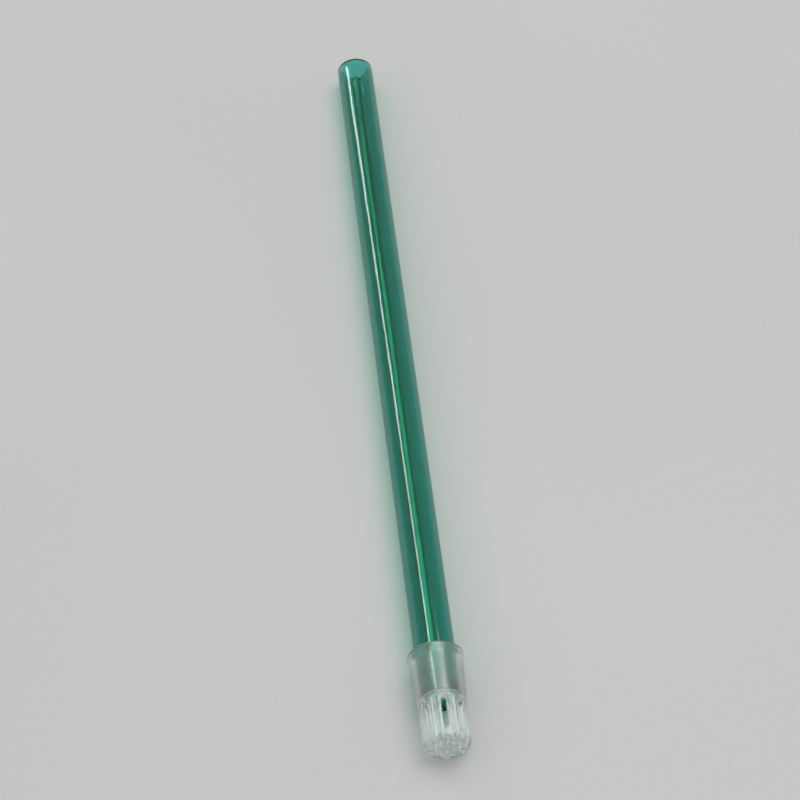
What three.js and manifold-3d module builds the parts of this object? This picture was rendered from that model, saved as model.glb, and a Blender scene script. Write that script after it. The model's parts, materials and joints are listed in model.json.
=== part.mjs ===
// Disposable saliva ejector, in millimetres, +Z up.
// It lies along Y on the plane z = 0, with its slotted cap at -Y and the cut end that goes into the suction
// valve at +Y. The origin is under its middle.
//
// A soft PVC tube holds a formable wire in a channel in its wall, and a moulded cap is pushed over one end.
// The tube keeps any shape that it is bent to. Its bend zone is modelled as a chain of short lengths of tube
// and wire, with a thin gap between one length and the next, so that each can turn a little on its neighbour.
import * as THREE from "three";
import { mergeVertices } from "three/addons/utils/BufferGeometryUtils.js";
import Module from "manifold-3d";

const wasm = await Module();
wasm.setup();

// ---- driving dimensions ----
const OVERALL_LENGTH = 150;
const ROUND_SIDES = 24; // flat sides that stand for each large circle

const tube = { outerR: 3.25, boreR: 2.3 };

// The wire lies at the bottom of the tube wall, because it is the heavy side of a tube that can roll. It is also
// on the plane of the bend hinges, where bending neither stretches nor shortens it.
const wire = { r: 0.42, channelR: 0.55, ribR: 0.85, centreR: 2.5 };
const WIRE_END_SETBACK = 0.8; // the tube is cut a little longer than its wire

// Radii and lengths of the cap, measured from its perforated end.
const cap = {
  length: 17,
  mouthR: 4.4,
  waistR: 3.95,
  waistAt: 8.8,
  noseR: 3.75,
  noseRounding: 1.1,
  domeHeight: 0.25,
  mouthLip: 0.35,
  seatR: 3.42,
  leadInR: 3.9,
  leadInLength: 1.2,
  shoulderAt: 8.6,
  chamberR: 2.95,
  endWall: 0.95,
};
const rib = { count: 8, width: 0.9, innerR: 2.3, from: 0.6, to: 8.1 };
const slot = { width: 0.8, from: 1.9, to: 7.1 };
const perforation = { r: 0.25, pitch: 0.9, sides: 8, fieldR: 2.1 };
const TUBE_INSERTION = 8; // how far the tube goes into the cap

// The bend zone: equal hinges, counted from the valve end towards the cap.
const bend = { hinges: 18, pitch: 4, firstY: 16, gap: 0.5 };

// ---- places worked out from them ----
const HALF_SIDE = Math.PI / ROUND_SIDES; // turns a flat side, not an edge, to the bottom
const AXIS_HEIGHT = cap.mouthR * Math.cos(HALF_SIDE);
const TIP_Y = -OVERALL_LENGTH / 2;
const VALVE_Y = OVERALL_LENGTH / 2;
const TUBE_TIP_Y = TIP_Y + cap.length - TUBE_INSERTION;
const wireCentre = new THREE.Vector2(0, wire.centreR);

// ---- materials ----
const greenPvc = new THREE.MeshStandardMaterial({
  color: 0x1f8a68,
  roughness: 0.15,
  metalness: 0,
  transparent: true,
  opacity: 0.6,
});
const brassWire = new THREE.MeshStandardMaterial({ color: 0xb9975b, roughness: 0.35, metalness: 1 });
const frostedCap = new THREE.MeshStandardMaterial({
  color: 0xdfe6e3,
  roughness: 0.4,
  metalness: 0,
  transparent: true,
  opacity: 0.5,
});

// Everything below lies along the group's own Z, which becomes the row's Y. The group's -Y is up.
const ejector = new THREE.Group();
ejector.rotation.x = -Math.PI / 2;
ejector.position.z = AXIS_HEIGHT;

function addPiece(name, geometry, material, along) {
  const mesh = new THREE.Mesh(geometry, material);
  mesh.name = name;
  mesh.position.z = along;
  ejector.add(mesh);
}

// Points on an arc from angle start to angle end, both included.
function arc(centre, r, start, end, steps) {
  return Array.from({ length: steps + 1 }, (_, i) => {
    const a = start + ((end - start) * i) / steps;
    return new THREE.Vector2(centre.x + r * Math.cos(a), centre.y + r * Math.sin(a));
  });
}

function circle(centre, r, sides, phase = 0) {
  return arc(centre, r, phase, phase + 2 * Math.PI, sides).slice(0, -1);
}

// ---- tube and wire ----
// The lumen is round, except where the rib round the wire channel stands into it.
function lumenOutline() {
  const d = wire.centreR;
  const axis = new THREE.Vector2(0, 0);
  const towardsWire = wireCentre.angle();
  const halfAtAxis = Math.acos((tube.boreR ** 2 + d ** 2 - wire.ribR ** 2) / (2 * tube.boreR * d));
  const halfAtWire = Math.acos((wire.ribR ** 2 + d ** 2 - tube.boreR ** 2) / (2 * wire.ribR * d));
  const BORE_STEPS = 20;
  const RIB_STEPS = 6;
  const bore = arc(
    axis,
    tube.boreR,
    towardsWire + halfAtAxis,
    towardsWire + 2 * Math.PI - halfAtAxis,
    BORE_STEPS,
  );
  const ribArc = arc(
    wireCentre,
    wire.ribR,
    towardsWire + Math.PI + halfAtWire,
    towardsWire + Math.PI - halfAtWire,
    RIB_STEPS,
  );
  return [...bore, ...ribArc.slice(1, -1)];
}

function tubeSection() {
  const section = new THREE.Shape(circle(new THREE.Vector2(0, 0), tube.outerR, ROUND_SIDES, HALF_SIDE));
  const CHANNEL_SIDES = 10;
  section.holes.push(new THREE.Path(lumenOutline()));
  section.holes.push(new THREE.Path(circle(wireCentre, wire.channelR, CHANNEL_SIDES)));
  return section;
}

function wireSection() {
  const WIRE_SIDES = 8;
  return new THREE.Shape(circle(wireCentre, wire.r, WIRE_SIDES));
}

// One length of tube and the wire in it, between two places along the axis.
function addLength(number, from, to, wireFrom, wireTo) {
  const suffix = String(number).padStart(2, "0");
  const tubeLength = new THREE.ExtrudeGeometry(tubeSection(), { depth: to - from, bevelEnabled: false });
  const wireLength = new THREE.ExtrudeGeometry(wireSection(), { depth: wireTo - wireFrom, bevelEnabled: false });
  addPiece(`tube_${suffix}`, tubeLength, greenPvc, from);
  addPiece(`wire_${suffix}`, wireLength, brassWire, wireFrom);
}

function addTubeAndWire() {
  const halfGap = bend.gap / 2;
  const hingeY = (index) => bend.firstY - index * bend.pitch;
  const last = bend.hinges;
  addLength(1, hingeY(0) + halfGap, VALVE_Y, hingeY(0) + halfGap, VALVE_Y - WIRE_END_SETBACK);
  for (let i = 1; i < last; i++) {
    const from = hingeY(i) + halfGap;
    const to = hingeY(i - 1) - halfGap;
    addLength(i + 1, from, to, from, to);
  }
  const tipTo = hingeY(last - 1) - halfGap;
  addLength(last + 1, TUBE_TIP_Y, tipTo, TUBE_TIP_Y + WIRE_END_SETBACK, tipTo);
}

// ---- cap ----
// A closed mesh with merged vertices, as a manifold-3d solid.
function solid(geometry) {
  const bare = geometry.clone();
  bare.deleteAttribute("normal");
  bare.deleteAttribute("uv");
  const merged = mergeVertices(bare, 1e-4);
  return new wasm.Manifold(
    new wasm.Mesh({
      numProp: 3,
      vertProperties: merged.attributes.position.array,
      triVerts: new Uint32Array(merged.index.array),
    }),
  );
}

function geometryOf(made) {
  const mesh = made.getMesh();
  return new THREE.BufferGeometry()
    .setAttribute("position", new THREE.BufferAttribute(new Float32Array(mesh.vertProperties), 3))
    .setIndex(new THREE.BufferAttribute(mesh.triVerts, 1));
}

// The turned form: a flared sleeve for the tube, a shoulder that stops it, and a closed, slightly domed nose.
function capBody() {
  const NOSE_STEPS = 4;
  const noseCentre = new THREE.Vector2(cap.noseR - cap.noseRounding, cap.domeHeight + cap.noseRounding);
  const profile = [
    new THREE.Vector2(0, 0),
    ...arc(noseCentre, cap.noseRounding, -Math.PI / 2, 0, NOSE_STEPS),
    new THREE.Vector2(cap.waistR, cap.waistAt),
    new THREE.Vector2(cap.mouthR, cap.length - cap.mouthLip),
    new THREE.Vector2(cap.mouthR - cap.mouthLip / 2, cap.length),
    new THREE.Vector2(cap.leadInR, cap.length),
    new THREE.Vector2(cap.seatR, cap.length - cap.leadInLength),
    new THREE.Vector2(cap.seatR, cap.shoulderAt),
    new THREE.Vector2(cap.chamberR, cap.shoulderAt),
    new THREE.Vector2(cap.chamberR, cap.endWall),
    new THREE.Vector2(0, cap.endWall),
  ];
  const lathe = new THREE.LatheGeometry(profile, ROUND_SIDES, HALF_SIDE);
  return solid(lathe.rotateX(Math.PI / 2));
}

// A bar that runs along the axis at a given angle round it.
function bar(width, innerR, outerR, from, to, angle) {
  const box = new THREE.BoxGeometry(width, outerR - innerR, to - from);
  box.translate(0, (innerR + outerR) / 2, (from + to) / 2);
  return solid(box.rotateZ(angle));
}

function perforationPlaces() {
  const reach = Math.floor(perforation.fieldR / perforation.pitch);
  const places = [];
  for (let i = -reach; i <= reach; i++) {
    for (let j = -reach; j <= reach; j++) {
      const place = new THREE.Vector2(i, j).multiplyScalar(perforation.pitch);
      if (place.length() <= perforation.fieldR) places.push(place);
    }
  }
  return places;
}

function capSolid() {
  const turn = (2 * Math.PI) / rib.count;
  const THROUGH = 1; // how far a cutter stands past what it cuts
  let made = capBody();
  for (let i = 0; i < rib.count; i++) {
    const insideWall = (cap.chamberR + cap.noseR) / 2;
    made = made.add(bar(rib.width, rib.innerR, insideWall, rib.from, rib.to, (i + 0.5) * turn));
  }
  for (let i = 0; i < rib.count; i++) {
    made = made.subtract(bar(slot.width, rib.innerR, cap.mouthR, slot.from, slot.to, i * turn));
  }
  for (const place of perforationPlaces()) {
    const depth = cap.endWall + 2 * THROUGH;
    const drill = new THREE.CylinderGeometry(perforation.r, perforation.r, depth, perforation.sides);
    drill.rotateX(Math.PI / 2).translate(place.x, place.y, depth / 2 - THROUGH);
    made = made.subtract(solid(drill));
  }
  return made;
}

addTubeAndWire();
addPiece("tip_cap", geometryOf(capSolid()), frostedCap, TIP_Y);

export default ejector;
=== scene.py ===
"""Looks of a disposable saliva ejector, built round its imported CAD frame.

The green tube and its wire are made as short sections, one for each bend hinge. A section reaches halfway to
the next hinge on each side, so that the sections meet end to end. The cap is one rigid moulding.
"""

import json
import math

import bpy
import numpy as np
import openvdb
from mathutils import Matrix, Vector
from mathutils.geometry import delaunay_2d_cdt


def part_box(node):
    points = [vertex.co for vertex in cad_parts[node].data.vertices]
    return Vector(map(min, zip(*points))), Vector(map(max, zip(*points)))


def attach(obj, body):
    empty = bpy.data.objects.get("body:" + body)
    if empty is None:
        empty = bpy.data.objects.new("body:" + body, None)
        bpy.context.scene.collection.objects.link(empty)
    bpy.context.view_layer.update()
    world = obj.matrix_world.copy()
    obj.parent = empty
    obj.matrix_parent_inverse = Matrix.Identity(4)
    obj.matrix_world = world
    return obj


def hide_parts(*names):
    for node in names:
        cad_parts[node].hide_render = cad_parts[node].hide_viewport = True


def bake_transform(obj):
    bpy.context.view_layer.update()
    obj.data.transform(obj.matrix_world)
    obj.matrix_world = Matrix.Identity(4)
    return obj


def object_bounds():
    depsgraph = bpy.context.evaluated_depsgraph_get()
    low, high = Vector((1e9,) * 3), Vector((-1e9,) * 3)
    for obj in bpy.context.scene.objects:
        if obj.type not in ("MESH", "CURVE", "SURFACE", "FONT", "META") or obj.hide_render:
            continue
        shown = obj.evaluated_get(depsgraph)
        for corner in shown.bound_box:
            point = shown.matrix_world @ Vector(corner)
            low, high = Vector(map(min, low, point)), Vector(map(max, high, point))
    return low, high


MM = 0.001

# ---- what the frame says ----
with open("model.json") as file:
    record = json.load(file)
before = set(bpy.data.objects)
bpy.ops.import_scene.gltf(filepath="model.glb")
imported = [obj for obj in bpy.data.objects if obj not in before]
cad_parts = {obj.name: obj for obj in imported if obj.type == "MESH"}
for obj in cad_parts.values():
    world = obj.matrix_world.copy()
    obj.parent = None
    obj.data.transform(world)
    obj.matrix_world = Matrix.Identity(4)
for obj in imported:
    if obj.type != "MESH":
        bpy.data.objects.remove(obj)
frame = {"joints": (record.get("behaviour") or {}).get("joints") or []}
cad_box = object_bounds()
bends = [joint for joint in frame["joints"] if joint["type"] == "hinge"]

CAD_SIDES = 24  # flat sides of the CAD model's large circles


def round_radius(node):
    """Radius of a CAD node's largest circle, from the width between two of its flat sides."""
    low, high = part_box(node)
    return (high.x - low.x) / 2 / math.cos(math.pi / CAD_SIDES)


AXIS_Z = bends[0]["pos_m"][2]
HINGE_Y = [joint["pos_m"][1] for joint in bends]
HALF_PITCH = (HINGE_Y[0] - HINGE_Y[1]) / 2
VALVE_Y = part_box("tube_01")[1].y
TUBE_TIP_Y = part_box("tube_19")[0].y
CAP_TIP_Y, CAP_MOUTH_Y = (corner.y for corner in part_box("tip_cap"))
CAP_LENGTH = CAP_MOUTH_Y - CAP_TIP_Y
WIRE_DEPTH = AXIS_Z - sum(corner.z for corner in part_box("wire_01")) / 2  # below the tube's axis

# ---- the tube's and the wire's own sizes ----
TUBE_R = round_radius("tube_01")
BORE_R = 2.3 * MM
WIRE_R = 0.42 * MM
RIB_HEIGHT = 0.68 * MM  # how far the wall round the wire stands into the lumen
RIB_HALF_ANGLE = math.radians(27)
CUT_ROUNDING = 0.07 * MM
CUT_ROUNDING_STEPS = 3
SHARP_EDGE_ANGLE = math.radians(50)
WIRE_SETBACK = 0.8 * MM
AROUND = 96
WIRE_AROUND = 24
RING_STEP = 0.5 * MM
LONG_STEP = 2 * MM  # ring spacing where nothing bends


def ring_angles(count):
    """Angles round the axis, from straight down."""
    return np.linspace(0, 2 * math.pi, count, endpoint=False)


def outline(radii, angles):
    """Points (x, z) about the tube's axis."""
    return np.stack([radii * np.sin(angles), -radii * np.cos(angles)], axis=1)


def outer_outline(inset=0.0):
    angles = ring_angles(AROUND)
    return outline(np.full(AROUND, TUBE_R - inset), angles)


def lumen_outline(outset=0.0):
    """A round bore with one smooth rib, which covers the wire."""
    angles = ring_angles(AROUND)
    from_wire = np.minimum(angles, 2 * math.pi - angles)
    rise = np.cos(np.clip(from_wire / RIB_HALF_ANGLE, 0, 1) * math.pi / 2) ** 2
    return outline(BORE_R - RIB_HEIGHT * rise + outset, angles)


def wire_outline(radius):
    angles = ring_angles(WIRE_AROUND)
    return outline(np.full(WIRE_AROUND, radius), angles) + np.array([0, -WIRE_DEPTH])


def at_station(points, y):
    """Places an outline across the tube's axis at y, in the row frame."""
    return [(x, y, AXIS_Z + z) for x, z in points]


class MeshMaker:
    """Collects rings of vertices and the faces between them."""

    def __init__(self):
        self.vertices = []
        self.faces = []

    def ring(self, points, y):
        first = len(self.vertices)
        self.vertices += at_station(points, y)
        return list(range(first, first + len(points)))

    def skin(self, rings, flip=False):
        """Quads between rings that run from the valve end towards the cap, with normals away from the axis."""
        for a, b in zip(rings, rings[1:]):
            count = len(a)
            for i in range(count):
                j = (i + 1) % count
                quad = [a[i], a[j], b[j], b[i]]
                self.faces.append(quad[::-1] if flip else quad)

    def cut_face(self, outer, holes, y, faces_valve):
        """A flat end face with holes in it, over rings that are there already."""
        loops = [outer, *holes]
        ids = [i for loop in loops for i in loop]
        flat = [Vector((self.vertices[i][0], self.vertices[i][2])) for i in ids]
        rings, first = [], 0
        for loop in loops:
            rings.append(list(range(first, first + len(loop))))
            first += len(loop)
        _, _, triangles, sources, _, inside = delaunay_2d_cdt(flat, [], rings, 1, 1e-9)
        for triangle, loops_round in zip(triangles, inside):
            if len(loops_round) == 1:  # inside the outer loop only, so not in a hole
                self.add_facing([ids[sources[i][0]] for i in triangle], faces_valve)

    def add_facing(self, face, faces_valve):
        a, b, c = (Vector(self.vertices[i]) for i in face)
        towards_valve = (b - a).cross(c - a).y > 0
        self.faces.append(face if towards_valve == faces_valve else face[::-1])

    def mesh(self, name):
        made = bpy.data.meshes.new(name)
        made.from_pydata([tuple(v) for v in self.vertices], [], self.faces)
        made.update()
        return made


def add_rest_attribute(mesh):
    """Keeps each point's rest place in millimetres, so that surface detail stays put when a section bends."""
    rest = mesh.attributes.new("rest_mm", "FLOAT_VECTOR", "POINT")
    places = np.array([v.co for v in mesh.vertices], np.float32) / MM
    rest.data.foreach_set("vector", places.ravel())


def new_piece(name, mesh, material):
    mesh.materials.append(material)
    mesh.shade_smooth()
    piece = bpy.data.objects.new(name, mesh)
    bpy.context.scene.collection.objects.link(piece)
    return piece


# ---- node helpers ----
class Nodes:
    """Short calls for building one material's nodes."""

    def __init__(self, name):
        self.material = bpy.data.materials.new(name)
        self.material.use_nodes = True
        self.tree = self.material.node_tree
        self.tree.nodes.clear()

    def add(self, kind, **settings):
        node = self.tree.nodes.new(kind)
        for key, value in settings.items():
            setattr(node, key, value)
        return node

    def link(self, source, target):
        self.tree.links.new(source, target)

    def set(self, node, **values):
        for name, value in values.items():
            socket = node.inputs[name.replace("_", " ")]
            if isinstance(value, bpy.types.NodeSocket):
                self.link(value, socket)
            else:
                socket.default_value = value

    def math(self, operation, a, b=0.0):
        node = self.add("ShaderNodeMath", operation=operation)
        for index, value in enumerate((a, b)):
            if isinstance(value, bpy.types.NodeSocket):
                self.link(value, node.inputs[index])
            else:
                node.inputs[index].default_value = value
        return node.outputs[0]

    def scaled(self, vector, factors):
        node = self.add("ShaderNodeVectorMath", operation="MULTIPLY")
        self.link(vector, node.inputs[0])
        node.inputs[1].default_value = factors
        return node.outputs[0]

    def noise(self, vector, scale, detail=2.0, roughness=0.5):
        node = self.add("ShaderNodeTexNoise")
        self.link(vector, node.inputs["Vector"])
        self.set(node, Scale=scale, Detail=detail, Roughness=roughness)
        return node.outputs["Fac"]

    def ramp(self, value, low, high, start=0.0, end=1.0):
        """Maps a value from low..high to start..end, and stops at both ends."""
        node = self.add("ShaderNodeMapRange")
        self.link(value, node.inputs["Value"])
        for name, number in zip(("From Min", "From Max", "To Min", "To Max"), (low, high, start, end)):
            node.inputs[name].default_value = number
        return node.outputs["Result"]

    def mix_colour(self, factor, a, b):
        node = self.add("ShaderNodeMix", data_type="RGBA")
        for name, value in (("Factor", factor), ("A", a), ("B", b)):
            socket = next(s for s in node.inputs if s.name == name and s.enabled)
            if isinstance(value, bpy.types.NodeSocket):
                self.link(value, socket)
            else:
                socket.default_value = value
        return next(s for s in node.outputs if s.enabled)

    def bump(self, height, distance, normal=None):
        node = self.add("ShaderNodeBump")
        self.link(height, node.inputs["Height"])
        self.set(node, Distance=distance, Strength=1.0)
        if normal is not None:
            self.link(normal, node.inputs["Normal"])
        return node.outputs["Normal"]

    def output(self, surface):
        node = self.add("ShaderNodeOutputMaterial")
        self.link(surface, node.inputs["Surface"])
        return self.material

    def mix_shader(self, factor, a, b):
        node = self.add("ShaderNodeMixShader")
        for source, target in zip((factor, a, b), node.inputs):
            self.link(source, target)
        return node.outputs[0]

    def soft_shadowed(self, surface, shadow_colour):
        """Light that other surfaces gather passes straight through, tinted, so that the shadow is soft."""
        path = self.add("ShaderNodeLightPath")
        straight = self.math("MAXIMUM", path.outputs["Is Shadow Ray"], path.outputs["Is Diffuse Ray"])
        see_through = self.add("ShaderNodeBsdfTransparent")
        see_through.inputs["Color"].default_value = shadow_colour
        return self.mix_shader(straight, surface, see_through.outputs[0])


# ---- materials ----
PVC_IOR = 1.53
PVC_TINT = (0.20, 0.80, 0.68, 1)
PVC_TINT_DEEP = (0.16, 0.74, 0.62, 1)
PVC_ABSORPTION_PER_MM = (1.50, 0.40, 0.46)
PVC_SHADOW_TINT = (0.38, 0.80, 0.72, 1)
LONGEST_PATH_MM = 5.0


def wall_tint(nodes):
    """What is left of white light after its path through the wall. It is greener where the path is longer."""
    path = nodes.add("ShaderNodeLightPath")
    depth_mm = nodes.math("MULTIPLY", path.outputs["Ray Length"], 1 / MM)
    depth_mm = nodes.math("MINIMUM", depth_mm, LONGEST_PATH_MM)
    channels = []
    for absorption in PVC_ABSORPTION_PER_MM:
        exponent = nodes.math("MULTIPLY", depth_mm, -absorption)
        channels.append(nodes.math("EXPONENT", exponent))
    colour = nodes.add("ShaderNodeCombineColor")
    for socket, channel in zip(colour.inputs, channels):
        nodes.link(channel, socket)
    return colour.outputs[0]


def green_pvc():
    """Clear soft PVC dyed green, drawn from a die that leaves faint lines along it."""
    nodes = Nodes("green_pvc")
    rest = nodes.add("ShaderNodeAttribute", attribute_name="rest_mm").outputs["Vector"]
    lines = nodes.noise(nodes.scaled(rest, (1, 0.02, 1)), 3.2, detail=3.0)
    waves = nodes.noise(nodes.scaled(rest, (0.35, 0.09, 0.35)), 1.0, detail=2.0)
    specks = nodes.noise(rest, 6.0, detail=4.0, roughness=0.7)
    from_inside = nodes.add("ShaderNodeNewGeometry").outputs["Backfacing"]
    roughness = nodes.ramp(specks, 0.35, 0.75, 0.035, 0.10)
    normal = nodes.bump(lines, 0.010 * MM)
    normal = nodes.bump(waves, 0.025 * MM, normal=normal)
    outside = nodes.add("ShaderNodeBsdfPrincipled")
    nodes.set(
        outside,
        Base_Color=nodes.mix_colour(nodes.ramp(waves, 0.3, 0.7), PVC_TINT, PVC_TINT_DEEP),
        Roughness=roughness,
        IOR=PVC_IOR,
        Specular_IOR_Level=0.2,
        Transmission_Weight=1.0,
        Normal=normal,
    )
    # light that has crossed the wall, to leave it or to be turned back into it
    inside = nodes.add("ShaderNodeBsdfGlass")
    nodes.set(inside, Color=wall_tint(nodes), Roughness=roughness, IOR=PVC_IOR, Normal=normal)
    wall = nodes.mix_shader(from_inside, outside.outputs[0], inside.outputs[0])
    return nodes.output(nodes.soft_shadowed(wall, PVC_SHADOW_TINT))


def brass_wire():
    """Thin drawn wire with a pale brass coat."""
    nodes = Nodes("brass_wire")
    rest = nodes.add("ShaderNodeAttribute", attribute_name="rest_mm").outputs["Vector"]
    drawn = nodes.noise(nodes.scaled(rest, (9, 0.05, 9)), 1.0, detail=4.0)
    patches = nodes.noise(nodes.scaled(rest, (1, 0.4, 1)), 0.9, detail=3.0)
    shader = nodes.add("ShaderNodeBsdfPrincipled")
    nodes.set(
        shader,
        Base_Color=nodes.mix_colour(nodes.ramp(patches, 0.35, 0.7), (0.92, 0.75, 0.55, 1), (0.78, 0.62, 0.44, 1)),
        Metallic=1.0,
        Roughness=nodes.ramp(drawn, 0.3, 0.7, 0.22, 0.40),
        Normal=nodes.bump(drawn, 0.004 * MM),
    )
    return nodes.output(shader.outputs[0])


def frosted_cap():
    """Milky translucent moulded plastic with a fine matt grain."""
    nodes = Nodes("frosted_cap")
    place = nodes.add("ShaderNodeTexCoord").outputs["Object"]
    grain = nodes.noise(place, 9000.0, detail=3.0, roughness=0.6)
    clouds = nodes.noise(place, 420.0, detail=4.0)
    along = nodes.add("ShaderNodeSeparateXYZ")
    nodes.link(place, along.inputs[0])
    collar = nodes.ramp(along.outputs["Y"], CAP_TIP_Y + 7.6 * MM, CAP_TIP_Y + 9.2 * MM, 0.86, 0.95)
    shader = nodes.add("ShaderNodeBsdfPrincipled")
    nodes.set(
        shader,
        Base_Color=nodes.mix_colour(nodes.ramp(clouds, 0.3, 0.7), (0.90, 0.94, 0.92, 1), (0.82, 0.88, 0.86, 1)),
        Roughness=nodes.ramp(grain, 0.3, 0.7, 0.12, 0.24),
        IOR=1.50,
        Specular_IOR_Level=0.38,
        Transmission_Weight=collar,
        Normal=nodes.bump(grain, 0.006 * MM),
    )
    return nodes.output(nodes.soft_shadowed(shader.outputs[0], (0.80, 0.82, 0.81, 1)))


def table_paint():
    """A pale, matt table top with a barely visible grain."""
    nodes = Nodes("table_paint")
    place = nodes.add("ShaderNodeTexCoord").outputs["Object"]
    grain = nodes.noise(place, 900.0, detail=5.0, roughness=0.6)
    cloud = nodes.noise(place, 6.0, detail=2.0)
    shader = nodes.add("ShaderNodeBsdfPrincipled")
    nodes.set(
        shader,
        Base_Color=nodes.mix_colour(nodes.ramp(cloud, 0.3, 0.7), (0.46, 0.47, 0.458, 1), (0.49, 0.495, 0.483, 1)),
        Roughness=nodes.ramp(grain, 0.3, 0.7, 0.55, 0.7),
        Normal=nodes.bump(grain, 0.02 * MM),
    )
    return nodes.output(shader.outputs[0])


# ---- tube and wire sections ----
def stations(top, bottom, hinge_y):
    """Ring places from top down to bottom: close together where the section bends, wider where it is straight."""
    bend_top, bend_bottom = hinge_y + HALF_PITCH, hinge_y - HALF_PITCH
    places = []
    for start, end, step in (
        (top, bend_top, LONG_STEP),
        (bend_top, bend_bottom, RING_STEP),
        (bend_bottom, bottom, LONG_STEP),
    ):
        if start - end > 1e-7:
            count = max(1, round((start - end) / step))
            places += [start + (end - start) * i / count for i in range(count)]
    return places + [bottom]


def cut_insets():
    """Steps of the small rounding at a cut edge: (distance from the end, inset of the wall's corner)."""
    quarter = [math.pi / 2 * i / CUT_ROUNDING_STEPS for i in range(CUT_ROUNDING_STEPS + 1)]
    return [(CUT_ROUNDING * (1 - math.sin(a)), CUT_ROUNDING * (1 - math.cos(a))) for a in quarter]


def add_cut_end(maker, y, faces_valve):
    """Rounded corner rings, the flat cut face and the short empty channel in front of the wire's end.

    Returns the outer and the lumen ring that the tube's skins go on from.
    """
    inwards = -1 if faces_valve else 1
    outer, lumen = [], []
    for distance, inset in cut_insets():
        place = y + inwards * distance
        outer.append(maker.ring(outer_outline(inset), place))
        lumen.append(maker.ring(lumen_outline(inset), place))
    channel = [maker.ring(wire_outline(WIRE_R), y + inwards * d) for d in (0, WIRE_SETBACK)]
    maker.cut_face(outer[-1], [lumen[-1], channel[0]], y, faces_valve)
    if faces_valve:  # skins run from the valve end towards the cap
        maker.skin(outer[::-1])
        maker.skin(lumen[::-1], flip=True)
        maker.skin(channel, flip=True)
    else:
        maker.skin(outer)
        maker.skin(lumen, flip=True)
        maker.skin(channel[::-1], flip=True)
    return outer[0], lumen[0]


def tube_section(index, material):
    """One hinge's length of tube. Its ends are open where the next section goes on."""
    first, last = index == 0, index == len(bends) - 1
    hinge_y = HINGE_Y[index]
    top = VALVE_Y - CUT_ROUNDING if first else hinge_y + HALF_PITCH
    bottom = TUBE_TIP_Y + CUT_ROUNDING if last else hinge_y - HALF_PITCH
    places = stations(top, bottom, hinge_y)
    maker = MeshMaker()
    start, end = [], []
    if first:
        start = [add_cut_end(maker, VALVE_Y, True)]
        places = places[1:]
    if last:
        end = [add_cut_end(maker, TUBE_TIP_Y, False)]
        places = places[:-1]
    middle = [(maker.ring(outer_outline(), y), maker.ring(lumen_outline(), y)) for y in places]
    outer, lumen = zip(*start, *middle, *end)
    maker.skin(outer)
    maker.skin(lumen, flip=True)
    finish_section(maker, f"tube_section_{index + 1:02d}", material, index)


def wire_section(index, material):
    """One hinge's length of wire, closed at the wire's own two ends."""
    first, last = index == 0, index == len(bends) - 1
    hinge_y = HINGE_Y[index]
    top = VALVE_Y - WIRE_SETBACK if first else hinge_y + HALF_PITCH
    bottom = TUBE_TIP_Y + WIRE_SETBACK if last else hinge_y - HALF_PITCH
    maker = MeshMaker()
    rings = [maker.ring(wire_outline(WIRE_R), y) for y in stations(top, bottom, hinge_y)]
    maker.skin(rings)
    if first:
        maker.cut_face(rings[0], [], top, True)
    if last:
        maker.cut_face(rings[-1], [], bottom, False)
    finish_section(maker, f"wire_section_{index + 1:02d}", material, index)


def finish_section(maker, name, material, index):
    """Makes the section's piece and hides the CAD lengths that it stands for."""
    mesh = maker.mesh(name)
    add_rest_attribute(mesh)
    piece = new_piece(name, mesh, material)
    mesh.set_sharp_from_angle(angle=SHARP_EDGE_ANGLE)  # the flat cut faces stay crisp
    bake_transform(piece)
    kind = name.split("_")[0]
    stood_for = [f"{kind}_{index + 1:02d}"]
    if index == len(bends) - 1:
        stood_for.append(f"{kind}_{index + 2:02d}")
    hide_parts(*stood_for)


# ---- cap ----
# Millimetres, with s measured from the perforated end along the axis.
CAP = {
    "nose_r": 3.75,
    "nose_rounding": 0.95,
    "dome": 0.25,
    "waist_r": 3.95,
    "waist_at": 8.8,
    "lip_width": 0.9,
    "lip_height": 0.10,
    "seat_r": 3.30,
    "lead_in_r": 3.95,
    "lead_in": 1.6,
    "shoulder_at": 8.6,
    "chamber_r": 2.95,
    "end_wall": 0.95,
}
ROUNDING = {
    "mouth": 0.16,
    "chamber": 0.3,
    "rib": 0.3,
    "rib_root": 0.15,
    "inside": 0.10,
    "slot": 0.12,
    "hole": 0.07,
}
RIBS = 8
RIB = {"width": 0.9, "inner_r": 2.3, "from": 0.7, "to": 8.1}
FLUTE_DEPTH = 0.22
SLOT = {"width": 0.8, "from": 1.9, "to": 7.1, "half_depth": 1.6}
HOLE = {"r": 0.25, "pitch": 0.9, "field_r": 2.1}
CAP_VOXEL = 0.09
BAND = 4 * CAP_VOXEL  # the distance field is right this near the surface


def round_meet(a, b, r):
    """Distance to what two shapes have in common, with the edge where they meet rounded to radius r."""
    return np.minimum(-r, np.maximum(a, b)) + np.hypot(np.maximum(r + a, 0), np.maximum(r + b, 0))


def smooth_step(value, low, high):
    t = np.clip((value - low) / (high - low), 0, 1)
    return t * t * (3 - 2 * t)


def rounded_bar(u, v, w, half_u, half_v, half_w, r):
    """Distance to a box with rounded edges about its own centre."""
    qu, qv, qw = np.abs(u) - half_u + r, np.abs(v) - half_v + r, np.abs(w) - half_w + r
    outside = np.sqrt(np.maximum(qu, 0) ** 2 + np.maximum(qv, 0) ** 2 + np.maximum(qw, 0) ** 2)
    return outside + np.minimum(np.maximum(qu, np.maximum(qv, qw)), 0) - r


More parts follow.
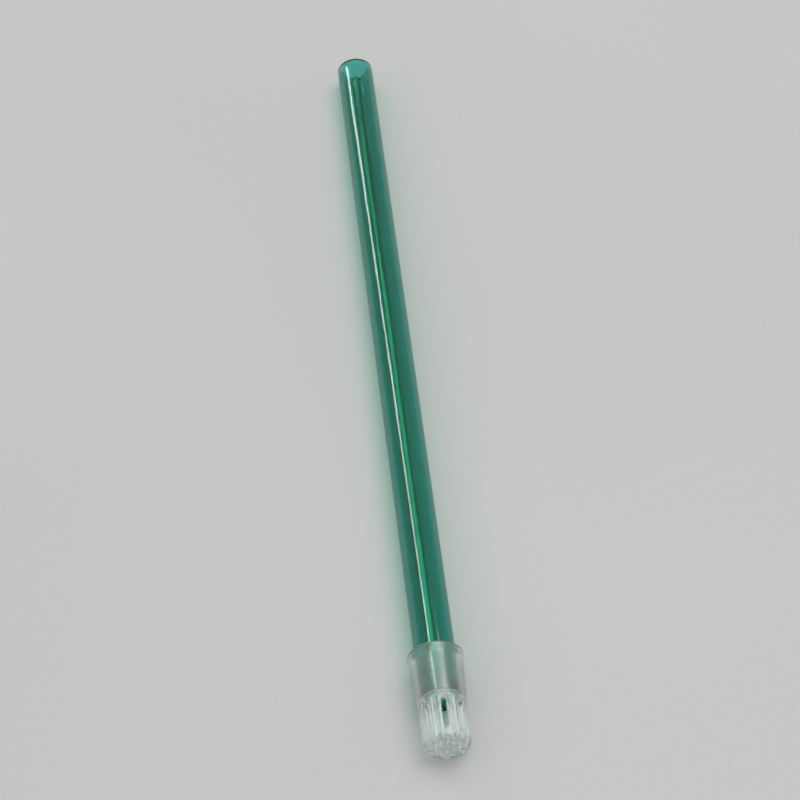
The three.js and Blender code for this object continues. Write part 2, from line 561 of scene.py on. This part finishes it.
def cap_distance(x, s, z):
    """Signed distance to the cap's surface, in millimetres, negative in the plastic."""
    length = CAP_LENGTH / MM
    mouth_r = round_radius("tip_cap") / MM
    r = np.hypot(x, z)
    turn = 2 * math.pi / RIBS
    angle = np.arctan2(z, x)
    from_rib = (angle + math.pi / 2) % turn - turn / 2  # 0 on a rib's middle
    from_slot = (angle + math.pi / 2 + turn / 2) % turn - turn / 2

    # outside: a tapered head with soft flutes between its ribs, a flared collar and a thin lip
    taper = CAP["nose_r"] + (CAP["waist_r"] - CAP["nose_r"]) * s / CAP["waist_at"]
    flare_run = length - CAP["waist_at"]
    flare = CAP["waist_r"] + (mouth_r - CAP["lip_height"] - CAP["waist_r"]) * (s - CAP["waist_at"]) / flare_run
    lip = CAP["lip_height"] * smooth_step(s, length - CAP["lip_width"], length - CAP["lip_width"] / 2)
    fluted = smooth_step(s, 0.4, 2.0) * (1 - smooth_step(s, RIB["to"] - 0.5, RIB["to"] + 0.3))
    flute = FLUTE_DEPTH * fluted * (0.5 - 0.5 * np.cos(RIBS * from_rib))
    outer_r = np.where(s < CAP["waist_at"], taper, flare) + lip - flute
    side = r - outer_r
    dome = CAP["dome"] * np.minimum(r / CAP["nose_r"], 1.2) ** 2
    body = round_meet(side, dome - s, CAP["nose_rounding"])
    body = round_meet(body, s - length, ROUNDING["mouth"])

    # inside: the chamber behind the holes, the shoulder that stops the tube, the seat and its lead-in
    lead = np.clip((s - (length - CAP["lead_in"])) / CAP["lead_in"], 0, 1.5)
    seat = r - (CAP["seat_r"] + (CAP["lead_in_r"] - CAP["seat_r"]) * lead**2)
    seat = np.maximum(seat, CAP["shoulder_at"] - s)
    chamber = round_meet(r - CAP["chamber_r"], CAP["end_wall"] - s, ROUNDING["chamber"])
    chamber = np.maximum(chamber, s - length - 1)
    ribs = rounded_bar(
        r * np.sin(from_rib),
        r * np.cos(from_rib) - (RIB["inner_r"] + CAP["nose_r"]) / 2,
        s - (RIB["from"] + RIB["to"]) / 2,
        RIB["width"] / 2,
        (CAP["nose_r"] - RIB["inner_r"]) / 2,
        (RIB["to"] - RIB["from"]) / 2,
        ROUNDING["rib"],
    )
    chamber = round_meet(chamber, -ribs, ROUNDING["rib_root"])
    hollow = np.minimum(seat, chamber)
    body = round_meet(body, -hollow, ROUNDING["inside"])

    slots = rounded_bar(
        r * np.sin(from_slot),
        r * np.cos(from_slot) - CAP["nose_r"],
        s - (SLOT["from"] + SLOT["to"]) / 2,
        SLOT["width"] / 2,
        SLOT["half_depth"],
        (SLOT["to"] - SLOT["from"]) / 2,
        SLOT["width"] / 2 - 0.02,  # nearly full round ends
    )
    body = round_meet(body, -slots, ROUNDING["slot"])

    # holes: the nearest point of a square grid, kept inside a round field
    u = x - HOLE["pitch"] * np.round(x / HOLE["pitch"])
    w = z - HOLE["pitch"] * np.round(z / HOLE["pitch"])
    in_field = np.hypot(x - u, z - w) <= HOLE["field_r"]
    hole = np.where(in_field, np.hypot(u, w) - HOLE["r"], 1.0)
    hole = np.maximum(hole, s - 2 * CAP["end_wall"])
    return round_meet(body, -hole, ROUNDING["hole"])


def cap_mesh():
    """The cap's surface, drawn out of its distance field."""
    reach = round_radius("tip_cap") / MM + BAND
    across = np.arange(-reach, reach, CAP_VOXEL, dtype=np.float32)
    along = np.arange(-BAND, CAP_LENGTH / MM + BAND, CAP_VOXEL, dtype=np.float32)
    x, s, z = np.meshgrid(across, along, across, indexing="ij")
    field = np.clip(cap_distance(x, s, z), -BAND, BAND)
    grid = openvdb.FloatGrid(background=BAND)
    grid.copyFromArray(field.astype(np.float32))
    points, quads = grid.convertToQuads(isovalue=0.0)
    corner = np.array([across[0], along[0], across[0]])
    places = points * CAP_VOXEL + corner
    places[:, 1] += CAP_TIP_Y / MM
    places[:, 2] += AXIS_Z / MM
    mesh = bpy.data.meshes.new("slotted_cap")
    mesh.from_pydata([tuple(p) for p in places * MM], [], quads.tolist())
    mesh.update()
    return mesh


def make_cap(material):
    cap = new_piece("slotted_cap", cap_mesh(), material)
    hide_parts("tip_cap")
    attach(cap, "cap")


# ---- table, lights, camera ----
TABLE_SIZE = 6.0
TABLE_CELLS = 8
TABLE_CLEARANCE = 0.00002


def make_table():
    """A large table top that touches the cap's rim and the underside of the tube's far end."""
    line = [TABLE_SIZE * (i / TABLE_CELLS - 0.5) for i in range(TABLE_CELLS + 1)]
    vertices = [(x, y, 0) for y in line for x in line]
    row = TABLE_CELLS + 1
    faces = [
        (j * row + i, j * row + i + 1, (j + 1) * row + i + 1, (j + 1) * row + i)
        for j in range(TABLE_CELLS)
        for i in range(TABLE_CELLS)
    ]
    mesh = bpy.data.meshes.new("table_top")
    mesh.from_pydata(vertices, [], faces)
    mesh.materials.append(table_paint())
    table = bpy.data.objects.new("table_top", mesh)
    rise = AXIS_Z - TUBE_R
    slope = math.atan2(rise, VALVE_Y - CAP_MOUTH_Y)
    table.rotation_euler = (slope, 0, 0)
    table.location = (0, 0, -CAP_MOUTH_Y * math.tan(slope) - TABLE_CLEARANCE)
    bpy.context.scene.collection.objects.link(table)


def area_light(name, place, target, size, power, colour):
    data = bpy.data.lights.new(name, "AREA")
    data.shape = "RECTANGLE"
    data.size, data.size_y = size
    data.energy = power
    data.color = colour
    light = bpy.data.objects.new(name, data)
    light.location = place
    light.rotation_euler = (Vector(target) - Vector(place)).to_track_quat("-Z", "Y").to_euler()
    bpy.context.scene.collection.objects.link(light)


def make_lights():
    middle = (0, 0, AXIS_Z)
    area_light("overhead_softbox", (0.25, 0.10, 0.95), middle, (0.8, 0.8), 7.0, (1.0, 0.99, 0.97))
    area_light("window_strip", (-0.45, 0.64, 0.62), middle, (0.08, 0.85), 1.9, (0.97, 0.99, 1.0))
    area_light("left_fill", (-0.9, -0.3, 0.6), middle, (0.5, 0.5), 1.5, (1.0, 0.98, 0.96))
    world = bpy.data.worlds.new("pale_room")
    world.use_nodes = True
    background = world.node_tree.nodes["Background"]
    background.inputs["Color"].default_value = (0.90, 0.91, 0.92, 1)
    background.inputs["Strength"].default_value = 0.45
    bpy.context.scene.world = world
    bpy.context.scene.view_settings.view_transform = "Standard"


# The camera looks along the ejector from the cap's end, and down at the table.
CAMERA_AZIMUTH = math.radians(6)
CAMERA_ELEVATION = math.radians(50)
CAMERA_DISTANCE = 0.428
FRAME_FILL_WIDTH = 0.134  # width that the frame covers at the ejector's middle
TARGET_SHIFT_Y = -0.006  # aims a little towards the cap, the end that is nearer the camera


def make_camera():
    data = bpy.data.cameras.new("camera")
    data.sensor_width = 36
    data.lens = data.sensor_width * CAMERA_DISTANCE / FRAME_FILL_WIDTH
    camera = bpy.data.objects.new("camera", data)
    low, high = cad_box
    target = (Vector(low) + Vector(high)) / 2 + Vector((0, TARGET_SHIFT_Y, 0))
    flat = CAMERA_DISTANCE * math.cos(CAMERA_ELEVATION)
    offset = Vector(
        (
            -flat * math.sin(CAMERA_AZIMUTH),
            -flat * math.cos(CAMERA_AZIMUTH),
            CAMERA_DISTANCE * math.sin(CAMERA_ELEVATION),
        )
    )
    camera.location = target + offset
    camera.rotation_euler = (-offset).to_track_quat("-Z", "Y").to_euler()
    bpy.context.scene.collection.objects.link(camera)
    bpy.context.scene.camera = camera


# ---- the whole scene ----
def make_ejector():
    pvc, brass, milky = green_pvc(), brass_wire(), frosted_cap()
    for index in range(len(bends)):
        tube_section(index, pvc)
        wire_section(index, brass)
    make_cap(milky)


make_ejector()
make_table()
make_lights()
make_camera()
